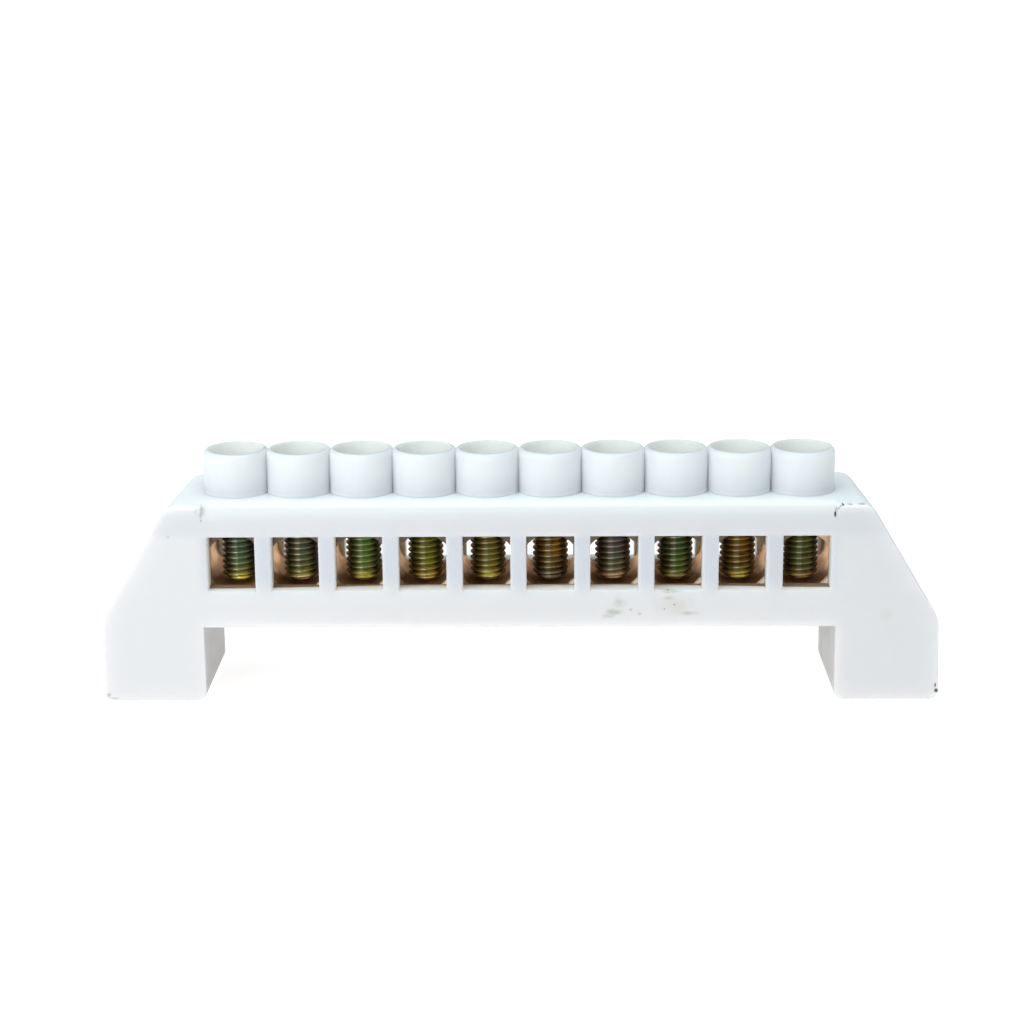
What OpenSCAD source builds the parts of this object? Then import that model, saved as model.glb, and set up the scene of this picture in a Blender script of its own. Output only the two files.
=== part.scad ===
// Bridge type earth terminal bar: a brass bar with a row of wire holes, held in a moulded
// housing on two feet, with one clamp screw in a collar over each wire hole.
// X runs along the bar, Y from front to back, Z up. The feet stand on Z = 0.

/* [Ways] */
// Number of wire ways
ways = 10; // [4:1:14]
// Distance from one way to the next
way_pitch = 8.5; // [8.3:0.1:10]

/* [Housing] */
// Depth of the housing, front to back
housing_d = 16.5; // [15.6:0.1:20]
// Height of the beam, from its underside to its top face
beam_h = 16.85; // [16:0.05:22]
// Height of the gap under the beam
bridge_h = 10.3; // [8:0.1:16]
// From the last way's centre to the inner face of the foot
foot_gap = 3.95; // [3.8:0.05:5]
// Width of a foot on the ground
foot_w = 14; // [13.6:0.1:18]
// Height of the foot's upright outer face
foot_side_h = 11.4; // [6:0.05:14]
// How much the foot's outer face leans in up to the shoulder
foot_lean = 0.3; // [0:0.05:0.6]
// From the last way's centre to the top of the slanted shoulder
shoulder_flat = 8.35; // [7.8:0.05:9]
// How much each end draws in from the front face to the back face
end_draft = 1.1; // [0:0.1:1.4]
// Radius of the foot's bottom corners
foot_corner_r = 1.2; // [0.4:0.1:1.6]
// Radius of the beam's long top edges
beam_edge_r = 2.2; // [1:0.1:2.4]
// From the last way's centre to where the beam's rounded edge ends
edge_run = 3.8; // [2:0.1:3.9]

/* [Windows] */
// Width of the window in front of each wire hole
window_w = 6.4; // [5.6:0.1:7]
// Height of the window
window_h = 7.55; // [6.8:0.05:8.2]
// How far the window's centre lies above the wire hole's centre
window_rise = 0.8; // [0:0.05:0.9]

/* [Collars] */
// Outer diameter of the collar around each clamp screw
collar_d = 8.9; // [8.6:0.1:9]
// Bore of the collar, where the screwdriver goes in
collar_bore_d = 7.4; // [7.2:0.1:7.6]
// Height of the collar above the beam
collar_h = 5.9; // [5:0.05:8]
// Outer diameter at the very top of the collar's rim
rim_d = 7.8; // [7.7:0.1:8.3]
// Height over which the rim is rounded off
rim_round_h = 0.9; // [0.4:0.1:2]
// Thickness of the ledge that stops the screw head, above the bar
ledge_t = 1.2; // [0.8:0.1:1.6]
// Hole in the ledge for the screw's shank
ledge_hole_d = 5.6; // [5.3:0.1:6]

/* [Brass bar] */
// Thickness of the bar, front to back
bar_d = 10.2; // [8:0.1:11]
// Height of the bar
bar_h = 12; // [11.6:0.1:13]
// Diameter of the wire hole
wire_hole_d = 7.9; // [6:0.1:8]
// Brass left under the wire hole
bar_floor = 1.15; // [1:0.05:2]
// Plastic left over the bar
roof_t = 1.95; // [1.6:0.05:2.6]
// From the last way's centre to the end of the bar, which snaps into a pocket in the foot
bar_overrun = 5.2; // [4.8:0.05:6]
// Clearance between the bar and the walls of its slot
bar_gap = 0.1; // [0.05:0.05:0.2]

/* [Clamp screws] */
// Thread diameter of the clamp screw
screw_d = 4.9; // [4.4:0.1:5]
// Gap between the head and the ledge under it, with the screw driven down
head_gap = 0.25; // [0.1:0.05:0.6]
// Gap between the screw's tip and the bottom of the wire hole
tip_gap = 0.3; // [0.28:0.01:0.6]
// Depth of the narrowed tip
tip_h = 1.4; // [1:0.1:1.8]
// Diameter at the end of the tip
tip_d = 2.2; // [1.6:0.1:2.4]
// Diameter of the screw head
head_d = 7; // [6.4:0.1:7]
// Height of the screw head
head_h = 3.2; // [2.4:0.1:3.4]
// Width of the slot in the head
slot_w = 1.2; // [0.8:0.1:1.4]
// Depth of the slot in the head
slot_depth = 1.7; // [1:0.1:2]
// Clearance between the screw and its tapped hole, on the radius
thread_gap = 0.05; // [0.03:0.01:0.08]

/* [Mounting holes] */
// From the last way's centre to the centre of the mounting hole
mount_offset = 12.25; // [12:0.05:12.4]
// Diameter of the mounting hole
mount_hole_d = 4.8; // [4:0.1:5]
// Diameter of the pocket for the mounting screw's head
pocket_d = 8; // [7:0.1:8.2]
// Thickness of the foot under the screw's head
pocket_floor = 5; // [3:0.5:7]

/* [Hidden] */
$fn = 48;
CUT = 1; // how far a cutter runs past the face it cuts
TOP_CORNER_R = 2.5; // corner between the top face and the slanted shoulder
SIDE_CORNER_R = 5; // corner between the slanted shoulder and the upright face
CORNER_FN = 48;
RIM_STEPS = 4;
SLOT_TURN = 47; // how far each screw's slot is turned from the one before it
PLASTIC = [0.9, 0.93, 0.94];
BRASS = [0.74, 0.58, 0.36];
ZINC = [0.5, 0.5, 0.26];

way_x = [for (i = [0 : ways - 1]) (i - (ways - 1) / 2) * way_pitch];
last_way_x = way_x[ways - 1];
foot_inner_x = last_way_x + foot_gap;
foot_outer_x = foot_inner_x + foot_w;
side_top_x = foot_outer_x - foot_lean;
shoulder_x = last_way_x + shoulder_flat;
edge_end_x = last_way_x + edge_run;
mount_x = last_way_x + mount_offset;

beam_top_z = bridge_h + beam_h;
collar_top_z = beam_top_z + collar_h;
bar_top_z = beam_top_z - roof_t;
bar_bottom_z = bar_top_z - bar_h;
wire_z = bar_bottom_z + bar_floor + wire_hole_d / 2;
window_z = wire_z + window_rise;
bar_l = 2 * (last_way_x + bar_overrun);
slot_d = bar_d + 2 * bar_gap;
tap_d = screw_d + 2 * thread_gap;
ledge_z = bar_top_z + ledge_t;
tip_z = wire_z - wire_hole_d / 2 + tip_gap;
screw_l = ledge_z + head_gap - tip_z;
draft_scale = 1 - end_draft / foot_outer_x;

// A corner of radius r that turns from the edge coming from a into the edge going to b
function corner(a, p, b, r) =
    let (u = (a - p) / norm(a - p), v = (b - p) / norm(b - p),
         half = acos(u * v) / 2, mid = (u + v) / norm(u + v),
         c = p + mid * r / sin(half),
         from = p + u * r / tan(half) - c,
         to = p + v * r / tan(half) - c,
         a0 = atan2(from.y, from.x),
         turn = atan2(to.y, to.x) - a0,
         sweep = turn > 180 ? turn - 360 : turn < -180 ? turn + 360 : turn,
         steps = ceil(CORNER_FN * abs(sweep) / 360))
    [for (k = [0 : steps]) c + r * [cos(a0 + sweep * k / steps), sin(a0 + sweep * k / steps)]];

// The front outline without the gap under the beam: two slanted shoulders over two feet
function outline() =
    let (sides = [[-foot_outer_x, 0], [foot_outer_x, 0], [side_top_x, foot_side_h],
                  [shoulder_x, beam_top_z], [-shoulder_x, beam_top_z], [-side_top_x, foot_side_h]],
         radii = [foot_corner_r, foot_corner_r, SIDE_CORNER_R, TOP_CORNER_R, TOP_CORNER_R, SIDE_CORNER_R],
         n = len(sides))
    [for (i = [0 : n - 1]) each corner(sides[(i + n - 1) % n], sides[i], sides[(i + 1) % n], radii[i])];

// The outline carried from the front face to the back face, drawing in at both ends
module drafted_block() {
    translate([0, -housing_d / 2, 0])
        rotate([90, 0, 0])
            mirror([0, 0, 1])
                linear_extrude(height = housing_d, scale = [draft_scale, 1], slices = 1)
                    polygon(outline());
}

// Rounds one long top edge of the beam; side is -1 for the front edge and 1 for the back
module beam_edge_cut(side) {
    y = side * (housing_d / 2 - beam_edge_r);
    z = beam_top_z - beam_edge_r;
    difference() {
        translate([-edge_end_x, side > 0 ? y : y - beam_edge_r - CUT, z])
            cube([2 * edge_end_x, beam_edge_r + CUT, beam_edge_r + CUT]);
        translate([-edge_end_x - CUT, y, z])
            rotate([0, 90, 0])
                cylinder(h = 2 * (edge_end_x + CUT), r = beam_edge_r);
    }
}

// Rounds the inner bottom corner of a foot; side is -1 for the left foot and 1 for the right
module foot_corner_cut(side) {
    x = side * (foot_inner_x + foot_corner_r);
    difference() {
        translate([side > 0 ? foot_inner_x - CUT : x, -housing_d, -CUT])
            cube([foot_corner_r + CUT, 2 * housing_d, foot_corner_r + CUT]);
        translate([x, housing_d + CUT, foot_corner_r])
            rotate([90, 0, 0])
                cylinder(h = 2 * (housing_d + CUT), r = foot_corner_r);
    }
}

// Half of a collar's outline, upright, with a rim rounded off as a quarter ellipse
function collar_profile() =
    let (over = (collar_d - rim_d) / 2, round_z = collar_top_z - rim_round_h)
    concat([[0, beam_top_z - CUT], [collar_d / 2, beam_top_z - CUT]],
           [for (k = [0 : RIM_STEPS])
                let (a = 90 * k / RIM_STEPS)
                [rim_d / 2 + over * cos(a), round_z + rim_round_h * sin(a)]],
           [[0, collar_top_z]]);

// The outside of one collar
module collar() {
    rotate_extrude()
        polygon(collar_profile());
}

// The stepped hole down through a collar: the head's bore, then the shank's hole in the ledge
module collar_bore() {
    translate([0, 0, ledge_z])
        cylinder(h = collar_top_z - ledge_z + CUT, d = collar_bore_d);
    translate([0, 0, bar_top_z - CUT])
        cylinder(h = ledge_t + 2 * CUT, d = ledge_hole_d);
}

// The stepped hole down through a foot for the screw that fixes the housing
module mount_hole() {
    translate([0, 0, -CUT])
        cylinder(h = pocket_floor + 2 * CUT, d = mount_hole_d);
    translate([0, 0, pocket_floor])
        cylinder(h = beam_top_z, d = pocket_d);
}

module housing() {
    color(PLASTIC)
        difference() {
            union() {
                difference() {
                    drafted_block();
                    beam_edge_cut(-1);
                    beam_edge_cut(1);
                }
                for (x = way_x)
                    translate([x, 0, 0]) collar();
            }
            // gap under the beam, between the feet
            translate([-foot_inner_x, -housing_d, -CUT])
                cube([2 * foot_inner_x, 2 * housing_d, bridge_h + CUT]);
            foot_corner_cut(-1);
            foot_corner_cut(1);
            // slot that the bar goes up through, between the feet
            translate([-foot_inner_x, -slot_d / 2, bridge_h - CUT])
                cube([2 * foot_inner_x, slot_d, bar_top_z - bridge_h + CUT]);
            // room for the bar, with a pocket in each foot that carries its end
            translate([-bar_l / 2 - bar_gap, -slot_d / 2, bar_bottom_z])
                cube([bar_l + 2 * bar_gap, slot_d, bar_h]);
            for (x = way_x) {
                translate([x - window_w / 2, -housing_d, window_z - window_h / 2])
                    cube([window_w, 2 * housing_d, window_h]);
                translate([x, 0, 0]) collar_bore();
            }
            for (side = [-1, 1])
                translate([side * mount_x, 0, 0]) mount_hole();
        }
}

module brass_bar() {
    color(BRASS)
        difference() {
            translate([-bar_l / 2, -bar_d / 2, bar_bottom_z])
                cube([bar_l, bar_d, bar_h]);
            for (x = way_x) {
                translate([x, bar_d / 2 + CUT, wire_z])
                    rotate([90, 0, 0])
                        cylinder(h = bar_d + 2 * CUT, d = wire_hole_d);
                translate([x, 0, wire_z])
                    cylinder(h = bar_top_z - wire_z + CUT, d = tap_d);
            }
        }
}

// Half of a screw's outline, upright from its tip: the narrowed tip, the shank and the head
function screw_profile() =
    [[0, 0], [tip_d / 2, 0], [screw_d / 2, tip_h], [screw_d / 2, screw_l],
     [head_d / 2, screw_l], [head_d / 2, screw_l + head_h], [0, screw_l + head_h]];

// One slotted clamp screw at its own way, driven down close to the bottom of the wire hole
module clamp_screw(i) {
    color(ZINC)
        translate([way_x[i], 0, 0])
            difference() {
                translate([0, 0, tip_z])
                    rotate_extrude()
                        polygon(screw_profile());
                rotate([0, 0, i * SLOT_TURN])
                    translate([-head_d, -slot_w / 2, tip_z + screw_l + head_h - slot_depth])
                        cube([2 * head_d, slot_w, slot_depth + CUT]);
            }
}

housing();
brass_bar();
for (i = [0 : ways - 1])
    clamp_screw(i);
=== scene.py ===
"""Looks of the earth terminal bar: a moulded housing, a drilled brass bar and ten threaded clamp screws.

X runs along the bar, Y from front to back, Z up, in metres. Every piece takes its place from the CAD nodes.
"""

import math

import bmesh
import bpy
import numpy as np
from mathutils import Matrix, Vector


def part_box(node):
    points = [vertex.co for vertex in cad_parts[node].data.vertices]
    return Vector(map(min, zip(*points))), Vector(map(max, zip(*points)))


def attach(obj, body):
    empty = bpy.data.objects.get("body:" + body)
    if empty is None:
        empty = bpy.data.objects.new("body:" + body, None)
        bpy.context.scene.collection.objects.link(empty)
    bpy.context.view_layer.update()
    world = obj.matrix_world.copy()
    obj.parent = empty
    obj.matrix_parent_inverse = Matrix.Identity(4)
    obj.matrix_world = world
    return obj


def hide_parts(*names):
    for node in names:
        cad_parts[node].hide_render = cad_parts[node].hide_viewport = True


MM = 0.001
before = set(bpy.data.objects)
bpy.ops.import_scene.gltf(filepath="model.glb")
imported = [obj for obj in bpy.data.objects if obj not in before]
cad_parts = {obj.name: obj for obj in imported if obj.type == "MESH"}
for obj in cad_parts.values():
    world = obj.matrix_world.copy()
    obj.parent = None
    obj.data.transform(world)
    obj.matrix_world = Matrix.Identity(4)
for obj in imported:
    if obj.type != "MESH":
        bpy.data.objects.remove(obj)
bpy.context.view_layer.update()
scene = bpy.context.scene
screw_names = [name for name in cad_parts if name.startswith("clamp_screw_")]
screw_names.sort(key=lambda name: int(name.split("_")[-1]))
housing_lo, housing_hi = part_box("housing")
bar_lo, bar_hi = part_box("brass_bar")
WAYS = [(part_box(name)[0].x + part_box(name)[1].x) / 2 for name in screw_names]

THREAD_PITCH = 0.8 * MM
THREAD_DEPTH = 0.46 * MM
THREAD_R = 2.435 * MM
THREAD_START = 0.37  # share of a turn by which each screw's thread is turned from the one before
TIP_PROFILE = ((0.0, 1.1), (0.06, 1.22), (0.24, 1.6), (0.45, 1.98), (0.62, 2.2), (0.8, 2.435))
PLAIN_TIP = 0.3 * MM
TIP_FADE = 0.4 * MM
NECK_FADE = 0.6 * MM
RING_POINTS = 72
RINGS_PER_TURN = 20
HEAD_H = 3.2 * MM
HEAD_EDGE = 0.35 * MM
HEAD_CHAMFER = 0.15 * MM
HEAD_LAP = 0.3 * MM
HEAD_POINTS = 30
SLOT_W = 1.2 * MM
SLOT_DEPTH = 1.7 * MM
SLOT_TURN = 47
SCREW_SHARP = 55
COLLAR_H = 5.85 * MM
COLLAR_REACH = 4.6 * MM
RIM_H = 0.9 * MM
RIM_OVER = 0.55 * MM
LEVEL_FACE = 0.97  # a normal steeper than this belongs to a level face, not to a wall
SMOOTH_ANGLE = 30
JOIN_DISTANCE = 0.001 * MM

# A screw's "height" attribute: from 0 at the tip to COLOR_TOP up the shank, and COLOR_HEAD on the head
COLOR_SPAN = 8.0 * MM
COLOR_TOP = 0.85
COLOR_HEAD = 1.3


# ---------------------------------------------------------------- finishes

class Finish:
    """A procedural material. Nodes are added by kind, and inputs take numbers, colours or other outputs."""

    def __init__(self, name):
        self.material = bpy.data.materials.new(name)
        self.material.use_nodes = True
        self.tree = self.material.node_tree
        self.surface = self.tree.nodes["Principled BSDF"]
        self.point = self.tree.nodes.new("ShaderNodeTexCoord").outputs["Object"]

    def feed(self, socket, value):
        """Links a socket to an output, or gives it a colour or a plain value."""
        if isinstance(value, bpy.types.NodeSocket):
            self.tree.links.new(value, socket)
        elif isinstance(value, tuple) and len(value) == 3 and socket.type == "RGBA":
            socket.default_value = (*value, 1.0)
        else:
            socket.default_value = value

    def add(self, kind, inputs, output=0, **settings):
        """Adds a node and returns one of its outputs."""
        made = self.tree.nodes.new(kind)
        for key, value in settings.items():
            setattr(made, key, value)
        for key, value in inputs.items():
            self.feed(made.inputs[key], value)
        return made.outputs[output]

    def set(self, **values):
        """Sets the shader's own inputs, named with underscores for spaces."""
        for key, value in values.items():
            self.feed(self.surface.inputs[key.replace("_", " ")], value)

    def attribute(self, name):
        return self.add("ShaderNodeAttribute", {}, "Fac", attribute_name=name)

    def axis(self, which):
        """The place along X, Y or Z (0, 1 or 2), in millimetres."""
        return self.calc("DIVIDE", self.add("ShaderNodeSeparateXYZ", {0: self.point}, which), MM)

    def calc(self, operation, a, b=0.0, clamp=False):
        return self.add("ShaderNodeMath", {0: a, 1: b}, operation=operation, use_clamp=clamp)

    def times(self, product, *factors):
        for factor in factors:
            product = self.calc("MULTIPLY", product, factor)
        return product

    def mix(self, amount, a, b):
        return self.add("ShaderNodeMix", {0: amount, 6: a, 7: b}, 2, data_type="RGBA")

    def paint(self, base, color, mask, strength):
        """The base turned to the colour by the mask times the strength."""
        return self.mix(self.times(mask, strength), base, color)

    def steps(self, value, low, high, to_low=0.0, to_high=1.0, curve="SMOOTHSTEP"):
        """A soft step from to_low, where the value is low, to to_high, where it is high."""
        inputs = {"Value": value, "From Min": low, "From Max": high, "To Min": to_low, "To Max": to_high}
        return self.add("ShaderNodeMapRange", inputs, interpolation_type=curve)

    def between(self, value, start, full, last_full, end):
        """A mask that rises from 0 at start to 1 at full, and falls again from last_full to end."""
        return self.times(self.steps(value, start, full), self.steps(value, end, last_full))

    def noise(self, scale, detail=3.0, stretch=(1.0, 1.0, 1.0), shift=(0.0, 0.0, 0.0)):
        moved = self.add("ShaderNodeMapping", {"Vector": self.point, "Location": shift, "Scale": stretch})
        return self.add("ShaderNodeTexNoise", {"Vector": moved, "Scale": scale, "Detail": detail})

    def waver(self, scale, amount):
        """Noise round 0."""
        return self.times(self.calc("SUBTRACT", self.noise(scale), 0.5), amount)

    def ramp(self, value, stops):
        """A colour that runs through stops of (place, colour)."""
        made = self.tree.nodes.new("ShaderNodeValToRGB")
        band = made.color_ramp
        while len(band.elements) < len(stops):
            band.elements.new(0.5)
        for element, (at, color) in zip(band.elements, stops):
            element.position = at
            element.color = (*color, 1.0)
        self.feed(made.inputs["Fac"], value)
        return made.outputs["Color"]

    def spot(self, centre, size, soft=0.6, ragged=0.0, scale=1500.0):
        """1 inside an ellipsoid, fading to 0 over its outer share: |(point - centre) / size| plus noise.

        The centre and the half widths are in millimetres, and soft is the share that fades.
        """
        centre = tuple(Vector(centre) * MM)
        size = tuple(Vector(size) * MM)
        away = self.add("ShaderNodeVectorMath", {0: self.point, 1: centre}, operation="SUBTRACT")
        away = self.add("ShaderNodeVectorMath", {0: away, 1: size}, operation="DIVIDE")
        away = self.add("ShaderNodeVectorMath", {0: away}, "Value", operation="LENGTH")
        if ragged:
            away = self.calc("ADD", away, self.waver(scale, ragged))
        return self.steps(away, 1.0, 1.0 - soft)

    def front_spot(self, x, z, wide, high, **more):
        """A spot on the housing's front face."""
        return self.spot((x, housing_lo.y / MM, z), (wide, 1.2, high), **more)

    def bump(self, height, strength, distance, normal=None):
        inputs = {"Height": height, "Strength": strength, "Distance": distance}
        if normal is not None:
            inputs["Normal"] = normal
        return self.add("ShaderNodeBump", inputs)

    def bevel(self, radius, samples):
        """Normals rounded over the edges."""
        return self.add("ShaderNodeBevel", {"Radius": radius}, samples=samples)


# Colours of the plastic, with painted light and shade
MOTTLE = ((0.655, 0.642, 0.652), (0.675, 0.662, 0.674))
BLOOM = (0.70, 0.72, 0.73)
# Painted light: the beam's top is painted lighter, as lit from above.
BEAM_TOP_LIT = (0.83, 0.835, 0.84)
# Painted light: the collars are painted lighter and bluish, as lit from above.
COLLAR_LIT = (0.71, 0.72, 0.74)
# Painted light: the insides of the collars are painted nearly white.
COLLAR_INSIDE_LIT = (0.96, 0.97, 0.97)
# Painted shade: dark grey on the inner faces of the feet and under the beam.
SHADE_BETWEEN_FEET = (0.42, 0.42, 0.42)
# Painted shade: a darker, bluish band on the front along the window row.
POSTS_SHADE = (0.53, 0.55, 0.605)
# Painted shade: a darker band on the front above the windows.
LINTEL_SHADE = (0.60, 0.605, 0.63)
# Painted light: the windows' walls and sills are painted lighter.
WINDOW_WALL_LIT = (0.94, 0.92, 0.89)
# Painted reflection: warm light from the brass on the housing's walls beside the bar.
BRASS_REFLECTION_BESIDE = (0.93, 0.78, 0.62)
# Painted shade with dirt: sills warmer and darker towards their backs.
SILL_SHADE_AND_GRIME = (0.60, 0.50, 0.38)
# Painted shade with dirt: a dark strip along each sill's back, against the brass.
SILL_BACK_SHADE_AND_GRIME = (0.22, 0.11, 0.065)
SPECK = (0.30, 0.30, 0.29)
BURR_RING = (0.42, 0.48, 0.45)
# Painted shade: dark creases at the right shoulder.
CREASE_SHADE = (0.24, 0.25, 0.26)
# Painted shade: a dark line down the right shoulder's slanted edge.
SHOULDER_EDGE_SHADE = (0.40, 0.41, 0.43)
COLLAR_SPECK = (0.25, 0.26, 0.27)
# Painted shade: chips painted near black as shade in their pits.
CHIP_SHADE = (0.02, 0.022, 0.025)

# Marks on the front face. Smudges: x, z, half width, half height, softness, raggedness, colour, strength
SMUDGES = (
    (13.45, 13.55, 1.1, 1.1, 0.9, 1.3, (0.42, 0.43, 0.37), 0.42),
    (12.75, 12.35, 1.7, 0.62, 0.8, 1.2, (0.36, 0.36, 0.29), 0.55),
    (12.0, 11.75, 1.3, 0.4, 0.8, 1.0, (0.42, 0.42, 0.36), 0.45),
    (20.6, 13.3, 3.6, 2.2, 1.0, 1.0, (0.58, 0.55, 0.50), 0.5),
    (20.0, 15.25, 2.1, 0.4, 0.8, 1.0, (0.36, 0.37, 0.29), 0.55),
    (19.9, 14.3, 0.9, 0.35, 0.9, 0.8, (0.46, 0.43, 0.36), 0.45),
    (22.8, 12.2, 1.5, 0.42, 0.9, 1.0, (0.42, 0.40, 0.37), 0.5),
    (49.0, 11.9, 1.3, 1.2, 1.0, 0.5, (0.58, 0.56, 0.48), 0.32),
    (-46.5, 22.95, 0.4, 0.28, 0.7, 0.7, (0.45, 0.46, 0.47), 0.55),
)
# Specks: x, z, half width, half height, strength
SPECKS = (
    (14.95, 12.65, 0.28, 0.28, 0.45),
    (20.7, 13.35, 0.2, 0.2, 0.75),
    (19.4, 12.75, 0.13, 0.24, 0.75),
    (19.85, 15.35, 0.16, 0.14, 0.7),
    (-46.4, 27.0, 0.2, 0.2, 0.6),
    (-42.0, 25.15, 0.22, 0.2, 0.55),
    (16.1, 12.1, 0.3, 0.25, 0.4),
    (-55.5, 0.75, 0.42, 0.42, 0.6),
    (-54.8, 0.3, 0.9, 0.2, 0.4),
)
# Creases at the right shoulder, and chips there and at the right foot, each painted dark as shade in it: x,
# z, half width, half height
CREASES = (
    (41.98, 26.35, 0.16, 0.3),
    (42.2, 26.62, 0.2, 0.24),
    (42.42, 26.88, 0.22, 0.22),
    (43.7, 27.08, 0.6, 0.12),
    (45.3, 27.1, 0.8, 0.1),
    (46.5, 26.95, 0.5, 0.12),
)
CHIPS = (
    (41.8, 25.8, 0.17, 0.5),
    (42.75, 27.05, 0.2, 0.16),
    (55.93, 1.2, 0.32, 0.3),
    (55.75, 1.95, 0.12, 0.3),
)


def plastic_tones(f, along, height):
    """A faint mottle, the plastic's own colour, and a tone for each level from the feet to the collars:
    painted shade between the feet, along the window row and above the windows, and painted light on the
    beam's top, the collars and their insides.
    """
    base = f.mix(f.noise(55.0, 2.0), *MOTTLE)
    base = f.mix(f.steps(f.noise(900.0, 4.0), 0.35, 0.75, 0.0, 0.12), base, BLOOM)
    # Painted light: the beam's top is painted lighter.
    base = f.mix(f.steps(height, 26.5, 27.1), base, BEAM_TOP_LIT)
    # Painted light: the collars are painted lighter and bluish.
    base = f.mix(f.steps(height, 27.3, 27.8), base, COLLAR_LIT)
    # Painted shade between the feet and under the beam.
    shaded_between_feet = f.times(f.steps(height, 10.5, 10.25), f.steps(along, 42.35, 42.2))
    base = f.paint(base, SHADE_BETWEEN_FEET, shaded_between_feet, 0.75)
    # Painted light: the insides of the collars are painted nearly white.
    base = f.mix(f.attribute("bore"), base, COLLAR_INSIDE_LIT)
    # Painted shade along the window row on the front.
    shaded_window_row = f.times(f.between(height, 14.0, 17.5, 22.4, 23.6), f.steps(along, 43.5, 40.5))
    base = f.paint(base, POSTS_SHADE, shaded_window_row, 0.8)
    # Painted shade on the band above the windows.
    return f.paint(base, LINTEL_SHADE, f.between(height, 22.4, 23.6, 25.6, 26.6), 0.7)


def window_tones(f, base, along, depth, height):
    """Painted light and shade in the windows: walls painted lit, a painted warm reflection of the brass on
    the walls beside it, and painted shade with dirt darkening the sills towards their backs.

    The dark back of a sill reaches forward by 0 at |x| = 16 mm to 1.3 mm at 38 mm, as the bar lies askew.
    """
    in_window = f.times(f.between(height, 15.0, 15.1, 23.0, 23.1), f.steps(along, 41.9, 41.8))
    # Painted light: the windows' walls and sills are painted lighter.
    base = f.mix(f.times(f.steps(depth, 8.24, 8.1), in_window), base, WINDOW_WALL_LIT)
    clear_of_bar = f.steps(depth, 5.23, 5.3)
    # Painted reflection of the brass on the walls beside it.
    base = f.mix(f.calc("SUBTRACT", in_window, clear_of_bar, True), base, BRASS_REFLECTION_BESIDE)
    in_front = f.times(in_window, clear_of_bar)
    # Painted shade with dirt, darker towards the back of each sill.
    sill_shade_and_grime = f.steps(f.calc("ADD", depth, f.waver(600.0, 1.6)), 7.0, 5.2)
    base = f.paint(base, SILL_SHADE_AND_GRIME, f.times(sill_shade_and_grime, in_front), 0.55)
    reach = f.times(f.steps(along, 16.0, 38.0, 0.0, 1.3, "LINEAR"), f.steps(height, 15.5, 15.4))
    # Painted shade with dirt: the dark strip at the back of each sill.
    back = f.steps(f.calc("SUBTRACT", depth, reach), 5.8, 5.3)
    return f.paint(base, SILL_BACK_SHADE_AND_GRIME, f.times(back, in_front), 0.85)


def surface_marks(f, base, height):
    """Smudges and specks on the front, creases on the front painted dark as shade in them, a line of
    painted shade down the right shoulder, and a speck on a collar.
    """
    for x, z, wide, high, soft, ragged, color, strength in SMUDGES:
        mask = f.front_spot(x, z, wide, high, soft=soft, ragged=ragged, scale=900.0)
        base = f.paint(base, color, mask, strength)
    for x, z, wide, high, strength in SPECKS:
        mask = f.front_spot(x, z, wide, high, soft=0.6, ragged=0.9, scale=4000.0)
        base = f.paint(base, SPECK, mask, strength)
    ring = f.front_spot(-42.1, 26.35, 0.85, 0.75, soft=0.35, ragged=1.2, scale=1600.0)
    ring = f.calc("SUBTRACT", ring, f.front_spot(-42.1, 26.4, 0.5, 0.45, soft=0.8, ragged=0.8), True)
    base = f.paint(base, BURR_RING, ring, 0.4)
    # Creases painted dark as shade in them.
    for x, z, wide, high in CREASES:
        mask = f.front_spot(x, z, wide, high, soft=0.8, ragged=1.3, scale=2600.0)
        base = f.paint(base, CREASE_SHADE, mask, 0.8)
    # Painted shade: a dark line along the right shoulder's slanted edge.
    outward = f.calc("ADD", f.times(f.axis(0), 0.861), f.times(height, 0.508))
    shoulder = f.times(f.steps(outward, 53.40, 53.72), f.steps(height, 12.0, 14.0))
    base = f.paint(base, SHOULDER_EDGE_SHADE, f.steps(f.times(shoulder, f.axis(1)), -7.9, -8.2), 0.4)
    return f.paint(base, COLLAR_SPECK, f.spot((-34.4, 0.0, 32.9), (0.3, 1.0, 0.45)), 0.6)


def moulded_polyamide():
    """Off-white moulded plastic with rounded edges, handling dirt, painted light and shade, and small chips
    at the corners painted near black as shade in them.
    """
    f = Finish("moulded_polyamide")
    along = f.calc("ABSOLUTE", f.axis(0))
    depth = f.calc("ABSOLUTE", f.axis(1))
    height = f.axis(2)
    base = plastic_tones(f, along, height)
    base = window_tones(f, base, along, depth, height)
    base = surface_marks(f, base, height)
    pits = 0.0
    # Each chip is painted near black as shade in its pit, and bumped in.
    for x, z, wide, high in CHIPS:
        mask = f.front_spot(x, z, wide, high, soft=0.35, ragged=0.8, scale=5000.0)
        base = f.paint(base, CHIP_SHADE, mask, 0.93)
        pits = f.calc("MAXIMUM", pits, mask)
    skin = f.bump(f.noise(2200.0), 0.12, 0.02 * MM, f.bevel(0.28 * MM, 6))
    skin = f.bump(f.calc("SUBTRACT", 1.0, pits), 0.8, 0.15 * MM, skin)
    f.set(Base_Color=base, Roughness=f.steps(f.noise(300.0), 0.3, 0.7, 0.40, 0.52), Normal=skin, IOR=1.5)
    f.set(Subsurface_Weight=0.9, Subsurface_Radius=(1.0, 0.9, 0.8), Subsurface_Scale=2.8 * MM)
    return f.material


BRASS = (0.98, 0.67, 0.43)
# Brown patches at random, and painted shade: darker towards the bottom of the bar.
BRASS_PATCH_AND_SHADE = (0.34, 0.17, 0.07)
# Painted shadow: the lintels' shadow high on the bar's faces.
BRASS_LINTEL_SHADOW = (0.07, 0.06, 0.045)
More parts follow.
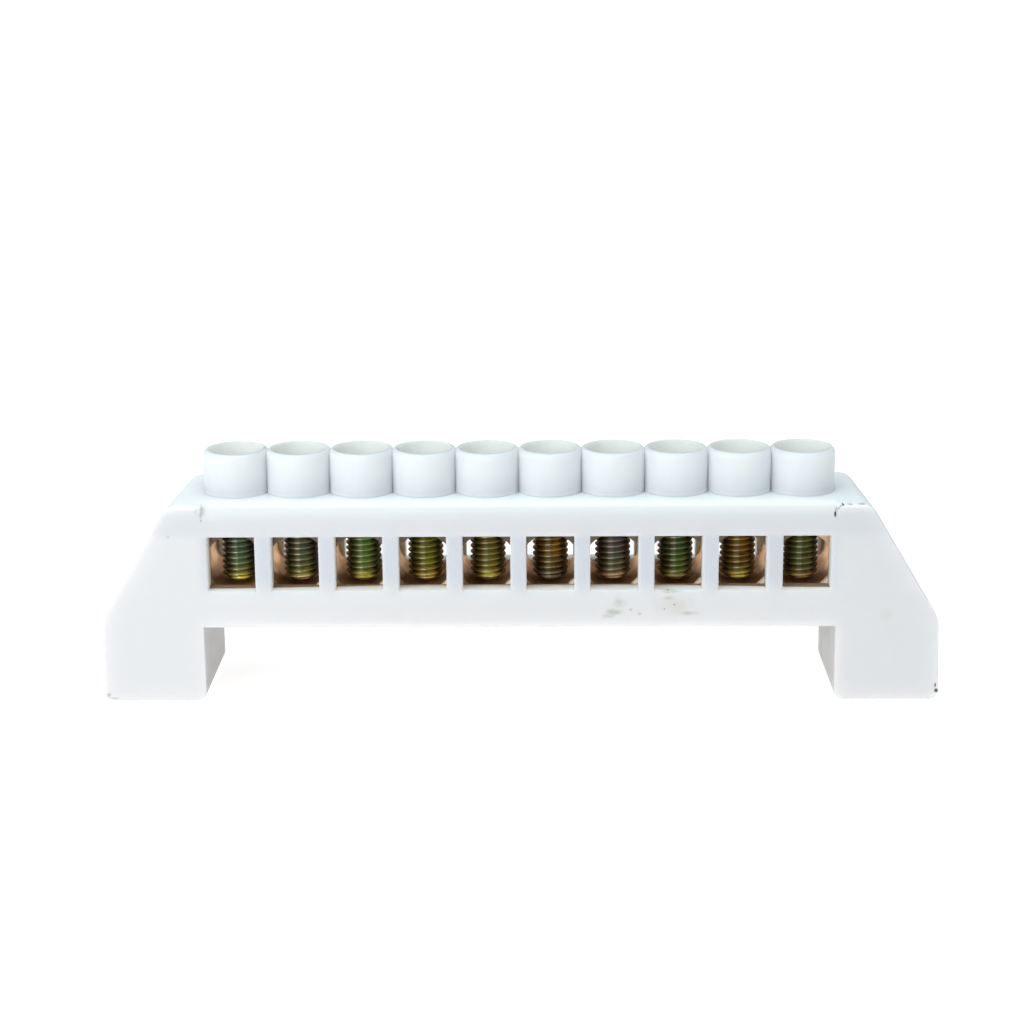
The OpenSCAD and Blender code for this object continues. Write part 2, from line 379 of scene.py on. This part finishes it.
# Painted highlight: bright spots on the brass's front, low beside the holes.
BRASS_HIGHLIGHT = (1.0, 0.84, 0.68)
HIGHLIGHT_SIZES = (0.0, 0.8, 0.6, 1.0, 0.9, 0.7, 0.9, 1.05, 1.2, 1.35)  # painted highlights on the brass's front, low at the right of each wire hole, in mm


def drilled_brass():
    """Brass with drilling rings in its wire holes, brown patches, painted shade towards the bottom, a
    painted shadow high on its faces, and painted highlights on its front beside the holes.
    """
    f = Finish("drilled_brass")
    x, y, z = f.axis(0), f.calc("ABSOLUTE", f.axis(1)), f.axis(2)
    front, back, bottom, top = bar_lo.y / MM, bar_hi.y / MM, bar_lo.z / MM, bar_hi.z / MM
    wave = {"Vector": f.point, "Scale": 900.0, "Distortion": 1.5, "Detail": 2.0}
    rings = f.add("ShaderNodeTexWave", wave, 1, bands_direction="Y")
    patches = f.steps(f.noise(260.0, 4.0, stretch=(1.0, 0.5, 1.0)), 0.4, 0.75, 0.0, 0.4)
    # Painted shade: darker brown towards the bottom, over brown patches at random.
    low = f.steps(z, bottom + 5.2, bottom + 1.2)
    base = f.mix(f.calc("ADD", patches, f.times(low, 0.75), True), BRASS, BRASS_PATCH_AND_SHADE)
    # Painted shadow of the lintels high on the bar's front and back faces, fainter at the right end.
    on_face = f.steps(y, back - 0.25, back - 0.1)
    upper = f.steps(z, top - 6.0, top - 3.8)
    base = f.mix(f.times(on_face, upper, f.steps(x, 40.2, 39.2, 0.35, 0.92)), base, BRASS_LINTEL_SHADOW)
    # Painted highlights: bright, less metallic spots on the brass's front beside the holes.
    front_highlight = 0.0
    for way, size in zip(WAYS, HIGHLIGHT_SIZES):
        if size:
            centre = (way / MM + 2.85, front + 0.1, bottom + 2.3)
            spot = f.spot(centre, (size * 1.1, 1.0, size * 0.95), soft=0.25, ragged=0.5)
            front_highlight = f.calc("MAXIMUM", front_highlight, spot)
    base = f.paint(base, BRASS_HIGHLIGHT, front_highlight, 0.9)
    skin = f.bump(rings, 0.12, 0.02 * MM, f.bevel(0.12 * MM, 4))
    f.set(Base_Color=base, Metallic=f.steps(front_highlight, 0.0, 1.0, 0.75, 0.15), Normal=skin)
    f.set(Roughness=f.steps(f.noise(700.0), 0.3, 0.7, 0.30, 0.46), Specular_Tint=(0.90, 0.68, 0.51))
    return f.material


SCREW_HEAD = (0.38, 0.35, 0.17)
# Painted highlight with wear: worn crests, brightest in the highlight band.
WORN_CREST_AND_HIGHLIGHT = (0.86, 0.84, 0.70)
# Painted highlight: a bright band down each screw.
BAND_HIGHLIGHT = (0.74, 0.75, 0.60)
# Painted highlight: a bright ring near the tip.
TIP_HIGHLIGHT = (0.95, 0.82, 0.62)
# Painted shade: dark thread roots.
THREAD_ROOT_SHADE = (0.025, 0.022, 0.012)
# Painted shade: dark sides of the screws.
SIDE_SHADE = (0.02, 0.018, 0.015)
# Each screw's colours: the upper, middle and lower part of the shank, the tip, and blotches
SCREW_COLORS = (
    ((0.143, 0.225, 0.164), (0.189, 0.29, 0.16), (0.288, 0.326, 0.102),
     (0.95, 0.938, 0.115), (0.22, 0.1, 0.05)),
    ((0.167, 0.211, 0.14), (0.193, 0.242, 0.13), (0.303, 0.355, 0.091),
     (0.863, 0.757, 0.323), (0.2, 0.13, 0.05)),
    ((0.184, 0.324, 0.1), (0.223, 0.342, 0.09), (0.285, 0.313, 0.067),
     (0.95, 0.95, 0.215), (0.1, 0.13, 0.05)),
    ((0.224, 0.277, 0.051), (0.287, 0.33, 0.034), (0.361, 0.294, 0.04),
     (0.881, 0.768, 0.196), (0.17, 0.12, 0.03)),
    ((0.269, 0.232, 0.057), (0.305, 0.304, 0.064), (0.351, 0.299, 0.069),
     (0.95, 0.95, 0.235), (0.34, 0.28, 0.04)),
    ((0.353, 0.232, 0.039), (0.294, 0.208, 0.064), (0.232, 0.187, 0.083),
     (0.393, 0.355, 0.256), (0.1, 0.06, 0.03)),
    ((0.208, 0.18, 0.184), (0.181, 0.223, 0.143), (0.271, 0.24, 0.133),
     (0.927, 0.645, 0.403), (0.16, 0.08, 0.05)),
    ((0.125, 0.217, 0.09), (0.15, 0.233, 0.064), (0.2, 0.27, 0.054),
     (0.95, 0.833, 0.403), (0.2, 0.08, 0.04)),
    ((0.307, 0.193, 0.03), (0.338, 0.237, 0.031), (0.295, 0.236, 0.039),
     (0.95, 0.914, 0.175), (0.1, 0.06, 0.03)),
    ((0.175, 0.219, 0.072), (0.203, 0.263, 0.085), (0.223, 0.188, 0.071),
     (0.673, 0.465, 0.183), (0.14, 0.08, 0.03)),
)


def passivated_zinc(index, upper, middle, lower, tip, blotch):
    """Yellow passivated zinc: bands of colour down to the tip, blotches, worn crests, a painted highlight
    band a little left of the middle that brightens the crests in it, a painted highlight ring near the tip,
    and painted shade in the thread roots and on both sides.

    The attribute "sideways" is -1 at the screw's left and 1 at its right.
    """
    f = Finish(f"passivated_zinc_{index + 1}")
    height, crest, sideways = f.attribute("height"), f.attribute("crest"), f.attribute("sideways")
    drift = f.noise(420.0, shift=(index * 0.013, 0.0, index * 0.007))
    level = f.calc("ADD", height, f.times(f.calc("SUBTRACT", drift, 0.5), 0.22))
    shank = ((0.0, tip), (0.1, tip), (0.2, lower), (0.4, middle), (0.62, upper), (0.9, upper))
    base = f.ramp(level, (*shank, (1.0, SCREW_HEAD)))
    patch = f.steps(f.noise(520.0, 2.0, shift=(0.0, index * 0.021, 0.0)), 0.56, 0.68)
    base = f.paint(base, blotch, patch, 0.6)
    # Painted highlight: a band a little left of the middle, which brightens the crests in it.
    highlight_band = f.between(sideways, -0.4, -0.2, -0.08, 0.06)
    line = f.times(f.steps(crest, 0.86, 1.0), f.steps(highlight_band, 0.0, 1.0, 0.16, 0.85))
    base = f.mix(line, base, WORN_CREST_AND_HIGHLIGHT)
    base = f.paint(base, BAND_HIGHLIGHT, highlight_band, 0.2)
    # Painted highlight: a ring near the tip.
    tip_highlight = f.between(height, 0.015, 0.035, 0.06, 0.085)
    tip_highlight = f.times(tip_highlight, f.between(sideways, -0.6, -0.2, 0.0, 0.5))
    base = f.paint(base, TIP_HIGHLIGHT, tip_highlight, 0.7)
    # Painted shade in the thread roots.
    base = f.mix(f.steps(crest, 0.3, 0.0, 0.0, 0.45), base, THREAD_ROOT_SHADE)
    # Painted shade on both sides of each screw.
    side_shade = f.calc("ADD", f.steps(sideways, -0.3, -0.75, 0.0, 0.72), f.steps(sideways, 0.4, 0.8, 0.0, 0.75))
    base = f.mix(side_shade, base, SIDE_SHADE)
    f.set(Base_Color=base, Metallic=0.6, Roughness=0.28, Normal=f.bump(f.noise(3000.0), 0.25, 0.02 * MM))
    return f.material


# ---------------------------------------------------------------- pieces

def place(mesh, name, body, slot, material, *nodes):
    """Puts a mesh into the scene as a piece that rides on a body and stands for CAD nodes."""
    mesh.materials.clear()
    mesh.materials.append(material)
    piece = bpy.data.objects.new(name, mesh)
    scene.collection.objects.link(piece)
    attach(piece, body)
    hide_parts(*nodes)
    return piece


def corner_normals(mesh, angle):
    """Normals at the corners of triangles: the sum of area times normal of the faces round the same point.

    Only faces within the angle of the corner's own face count, so broad faces stay flat and small ones turn
    between. Also gives each corner's point, its face's normal and its face's centre.
    """
    points = np.empty(len(mesh.vertices) * 3, np.float32)
    mesh.vertices.foreach_get("co", points)
    points = points.reshape(-1, 3).astype(float)
    corner = np.empty(len(mesh.loops), np.int32)
    mesh.loops.foreach_get("vertex_index", corner)
    tri = points[corner].reshape(-1, 3, 3)
    cross = np.cross(tri[:, 1] - tri[:, 0], tri[:, 2] - tri[:, 0])
    face = cross / np.maximum(np.linalg.norm(cross, axis=1), 1e-18)[:, None]
    own = np.repeat(face, 3, axis=0)
    order = np.argsort(corner, kind="stable")
    group, faces, weights = corner[order], own[order], np.repeat(cross, 3, axis=0)[order]
    total = weights.copy()
    near = math.cos(math.radians(angle))
    for step in range(1, int(np.bincount(corner).max())):
        same = group[step:] == group[:-step]
        close = same & (np.einsum("ij,ij->i", faces[step:], faces[:-step]) > near)
        total[:-step][close] += weights[step:][close]
        total[step:][close] += weights[:-step][close]
    normals = np.empty_like(total)
    normals[order] = total
    length = np.linalg.norm(normals, axis=1, keepdims=True)
    normals = np.where(length > 1e-14, normals / np.maximum(length, 1e-14), own)
    return normals, points[corner], own, np.repeat(tri.mean(axis=1), 3, axis=0)


def turned_walls(normals, at, own, centre):
    """Normals of the collars' walls: straight out from the way's axis, and a quarter ellipse's on the rim.

    Also gives 1 at each corner on the inside of a collar, else 0.
    """
    ways = np.array(WAYS)
    nearest = ways[np.abs(centre[:, :1] - ways[None, :]).argmin(axis=1)]
    out = np.stack([at[:, 0] - nearest, at[:, 1]], axis=1)
    radius = np.maximum(np.linalg.norm(out, axis=1), 1e-9)
    side = np.sign((out * own[:, :2]).sum(axis=1))
    rise = np.clip((at[:, 2] - housing_hi.z + RIM_H) / RIM_H, 0.0, 1.0)
    flat_part = np.sqrt(1.0 - rise * rise) / RIM_OVER
    tall_part = rise / RIM_H
    over = np.where(side > 0, tall_part / np.hypot(flat_part, tall_part), 0.0)
    level = np.sqrt(1.0 - over * over)
    walls = np.column_stack([side * level * out[:, 0] / radius, side * level * out[:, 1] / radius, over])
    in_collar = (centre[:, 2] > housing_hi.z - COLLAR_H) & (radius < COLLAR_REACH)
    is_wall = in_collar & (np.abs(own[:, 2]) < LEVEL_FACE)
    return np.where(is_wall[:, None], walls, normals), (is_wall & (side < 0)).astype(np.float32)


def merged_node(node_name, collars=False):
    """A copy of a CAD node's mesh with its triangles joined, and smooth normals that suit its collars."""
    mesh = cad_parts[node_name].data.copy()
    work = bmesh.new()
    work.from_mesh(mesh)
    bmesh.ops.remove_doubles(work, verts=work.verts, dist=JOIN_DISTANCE)
    work.to_mesh(mesh)
    work.free()
    mesh.shade_smooth()
    normals, at, own, centre = corner_normals(mesh, SMOOTH_ANGLE)
    if collars:
        normals, bore = turned_walls(normals, at, own, centre)
        mesh.attributes.new("bore", "FLOAT", "CORNER").data.foreach_set("value", bore)
    mesh.normals_split_custom_set(normals.tolist())
    return mesh


def groove(turn):
    """Depth of the thread, 0 at the crest to 1 at the root: the way from the crest to the power 1.35."""
    from_crest = 2.0 * np.abs((turn + 0.5) % 1.0 - 0.5)
    return from_crest ** 1.35


def threaded_shank(index, x, low_z, head_z):
    """Points and faces of a threaded shank, as rings round its axis that are closed by a fan at each end.

    Height z runs up the rings, angle a round each. The radius is the tip's profile at z less
    depth * groove(z / pitch - a / 2 pi), a right-hand helix that fades out at the tip and under the head.
    Also gives each point's nearness to the crest, height and place sideways.
    """
    angle = np.linspace(0.0, 2.0 * math.pi, RING_POINTS, endpoint=False)
    z = np.append(np.arange(low_z, head_z, THREAD_PITCH / RINGS_PER_TURN), head_z + HEAD_LAP)
    tip_z, tip_r = np.array(TIP_PROFILE).T * MM
    core = np.interp(z - low_z, tip_z, tip_r, right=THREAD_R)
    zz, aa = np.meshgrid(z, angle, indexing="ij")
    deep = groove(zz / THREAD_PITCH - aa / (2.0 * math.pi) + THREAD_START * index)
    start = np.clip((zz - low_z - PLAIN_TIP) / TIP_FADE, 0.0, 1.0)
    end = np.clip((head_z - NECK_FADE - zz) / NECK_FADE, 0.0, 1.0)
    deep = deep * start * end
    radius = core[:, None] - THREAD_DEPTH * deep
    points = np.stack([x + radius * np.cos(aa), radius * np.sin(aa), zz], axis=-1).reshape(-1, 3)
    poles = [[x, 0.0, low_z], [x, 0.0, head_z + HEAD_LAP]]
    rings, count = radius.shape
    ring, step = np.meshgrid(np.arange(rings - 1), np.arange(count), indexing="ij")
    here, after = ring * count + step, ring * count + (step + 1) % count
    quads = np.stack([here, after, after + count, here + count], axis=-1).reshape(-1, 4)
    first = np.arange(count)
    last = first + (rings - 1) * count
    bottom = np.stack([np.roll(first, -1), first, np.full(count, rings * count)], axis=-1)
    top = np.stack([last, np.roll(last, -1), np.full(count, rings * count + 1)], axis=-1)
    crest = np.append(1.0 - deep.ravel(), [1.0, 0.5])
    height = np.append(np.minimum((zz - low_z).ravel() / COLOR_SPAN, COLOR_TOP), [0.0, COLOR_TOP])
    sideways = np.append(np.cos(aa).ravel(), [0.0, 0.0])
    faces = quads.tolist() + bottom.tolist() + top.tolist()
    return np.vstack([points, poles]), faces, crest, height, sideways


def slotted_head(first, x, head_r, head_z, top_z, turn):
    """Points and faces of a cheese head: two half discs with a rounded upper edge, and a slot between them.

    Each half is a grid of rows by angles. A row's radius and height follow the head's profile, and its
    angles run between asin(half the slot / radius) and pi less that, so that its ends lie on the slot's
    straight walls. The third row is level with the slot's floor.
    """
    profile = np.array([
        (head_r - HEAD_CHAMFER, head_z),
        (head_r, head_z + HEAD_CHAMFER),
        (head_r, top_z - SLOT_DEPTH),
        (head_r, top_z - HEAD_EDGE),
        (head_r - 0.3 * HEAD_EDGE, top_z - 0.3 * HEAD_EDGE),
        (head_r - HEAD_EDGE, top_z),
    ])
    rows = len(profile)
    radius, z = profile[:, 0][None, :, None], profile[:, 1][None, :, None]
    reach = np.arcsin(SLOT_W / 2 / radius)
    spread = np.linspace(0.0, 1.0, HEAD_POINTS)[None, None, :]
    half = np.array([0.0, math.pi])[:, None, None]
    a = reach + (math.pi - 2 * reach) * spread + half + math.radians(turn)
    points = np.stack([x + radius * np.cos(a), radius * np.sin(a), z + 0.0 * a], axis=-1).reshape(-1, 3)
    index = first + np.arange(2 * rows * HEAD_POINTS).reshape(2, rows, HEAD_POINTS)
    low, high = index[:, :-1], index[:, 1:]
    around = np.stack([low[..., :-1], low[..., 1:], high[..., 1:], high[..., :-1]], axis=-1).reshape(-1, 4)
    begin, finish = index[..., 0], index[..., -1]
    other = begin[::-1]
    across = np.stack([finish[:, :2], other[:, :2], other[:, 1:3], finish[:, 1:3]], axis=-1).reshape(-1, 4)
    walls = np.hstack([finish[:, 2:], begin[:, :1:-1]])
    floor = [[begin[0, 2], finish[0, 2], begin[1, 2], finish[1, 2]]]
    under = [index[:, 0].ravel()[::-1].tolist()]
    faces = around.tolist() + across.tolist() + walls.tolist() + floor + under + index[:, -1].tolist()
    return points, faces


def clamp_screw(index):
    """The mesh of one clamp screw, thread and head together, with the attributes that its finish reads."""
    name = screw_names[index]
    lo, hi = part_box(name)
    x = WAYS[index]
    head_z = hi.z - HEAD_H
    points, faces, crest, height, sideways = threaded_shank(index, x, lo.z, head_z)
    head, head_faces = slotted_head(len(points), x, (hi.x - lo.x) / 2, head_z, hi.z, index * SLOT_TURN)
    mesh = bpy.data.meshes.new(name)
    mesh.from_pydata(np.vstack([points, head]).tolist(), [], faces + head_faces)
    attributes = (("crest", crest, 0.7), ("height", height, COLOR_HEAD), ("sideways", sideways, 0.0))
    for key, value, on_head in attributes:
        value = np.append(value, np.full(len(head), on_head)).astype(np.float32)
        mesh.attributes.new(key, "FLOAT", "POINT").data.foreach_set("value", value)
    mesh.shade_smooth()
    mesh.set_sharp_from_angle(angle=math.radians(SCREW_SHARP))
    return mesh


housing_mesh = merged_node("housing", collars=True)
place(housing_mesh, "housing_moulding", "bar", "moulded_plastic", moulded_polyamide(), "housing")
place(merged_node("brass_bar"), "brass_bar_drilled", "bar", "brass", drilled_brass(), "brass_bar")
for index, name in enumerate(screw_names):
    finish = passivated_zinc(index, *SCREW_COLORS[index])
    place(clamp_screw(index), name + "_threaded", name, "passivated_zinc", finish, name)


# ---------------------------------------------------------------- floor, light and camera

TABLE_HALF = 6.0
TABLE_GLOW = 0.83
ROOM_LIGHT = 0.37
ROOM_COLOR = (0.985, 0.99, 1.0, 1.0)
KEY_AT = (-0.18, -0.245, 0.13)
KEY_AIM = (0, 0, 0.015)
KEY_SIZE = 0.16
KEY_POWER = 0.40
OVERHEAD_POWER = 2.05
OVERHEAD_SPREAD = 80
OVERHEAD_COLOR = (0.79, 0.98, 1.0)
CAMERA_AT = (4.303 * MM, -270.55 * MM, 101.3 * MM)
CAMERA_PITCH = -12.86
CAMERA_HEADING = 1.081
CAMERA_ROLL = -0.5033


def pale_table():
    """The floor, a wide white sheet that glows a little, as a light table does."""
    mesh = bpy.data.meshes.new("table")
    corners = [(x * TABLE_HALF, y * TABLE_HALF, 0) for x, y in ((-1, -1), (1, -1), (1, 1), (-1, 1))]
    mesh.from_pydata(corners, [], [(0, 1, 2, 3)])
    table = bpy.data.objects.new("table", mesh)
    scene.collection.objects.link(table)
    f = Finish("white_sheet")
    f.set(Base_Color=(0.35, 0.35, 0.35), Roughness=0.9)
    f.set(Emission_Color=(1.0, 1.0, 1.0), Emission_Strength=TABLE_GLOW)
    mesh.materials.append(f.material)


def lamp(name, kind, power):
    """Adds a light to the scene and returns it."""
    data = bpy.data.lights.new(name, kind)
    data.energy = power
    light = bpy.data.objects.new(name, data)
    scene.collection.objects.link(light)
    return light


pale_table()
world = bpy.data.worlds.new("white_room")
world.use_nodes = True
world.node_tree.nodes["Background"].inputs["Strength"].default_value = ROOM_LIGHT
world.node_tree.nodes["Background"].inputs["Color"].default_value = ROOM_COLOR
scene.world = world

key = lamp("key_softbox", "AREA", KEY_POWER)
key.data.size = KEY_SIZE
key.location = KEY_AT
key.rotation_euler = (Vector(KEY_AIM) - Vector(KEY_AT)).to_track_quat("-Z", "Y").to_euler()
overhead = lamp("overhead", "SUN", OVERHEAD_POWER)
overhead.data.angle = math.radians(OVERHEAD_SPREAD)
overhead.data.color = OVERHEAD_COLOR
overhead.rotation_euler = (math.radians(15), math.radians(-3), 0)

camera = bpy.data.objects.new("camera", bpy.data.cameras.new("camera"))
scene.collection.objects.link(camera)
camera.data.sensor_width = 36.0
camera.data.lens = 72.6
camera.data.shift_y = -0.1094
camera.data.clip_start = 0.01
heading = Matrix.Rotation(math.radians(CAMERA_HEADING), 4, "Z")
pitch = Matrix.Rotation(math.radians(90 + CAMERA_PITCH), 4, "X")
roll = Matrix.Rotation(math.radians(CAMERA_ROLL), 4, "Z")
camera.matrix_world = Matrix.Translation(CAMERA_AT) @ heading @ pitch @ roll
scene.camera = camera
scene.view_settings.view_transform = "Standard"
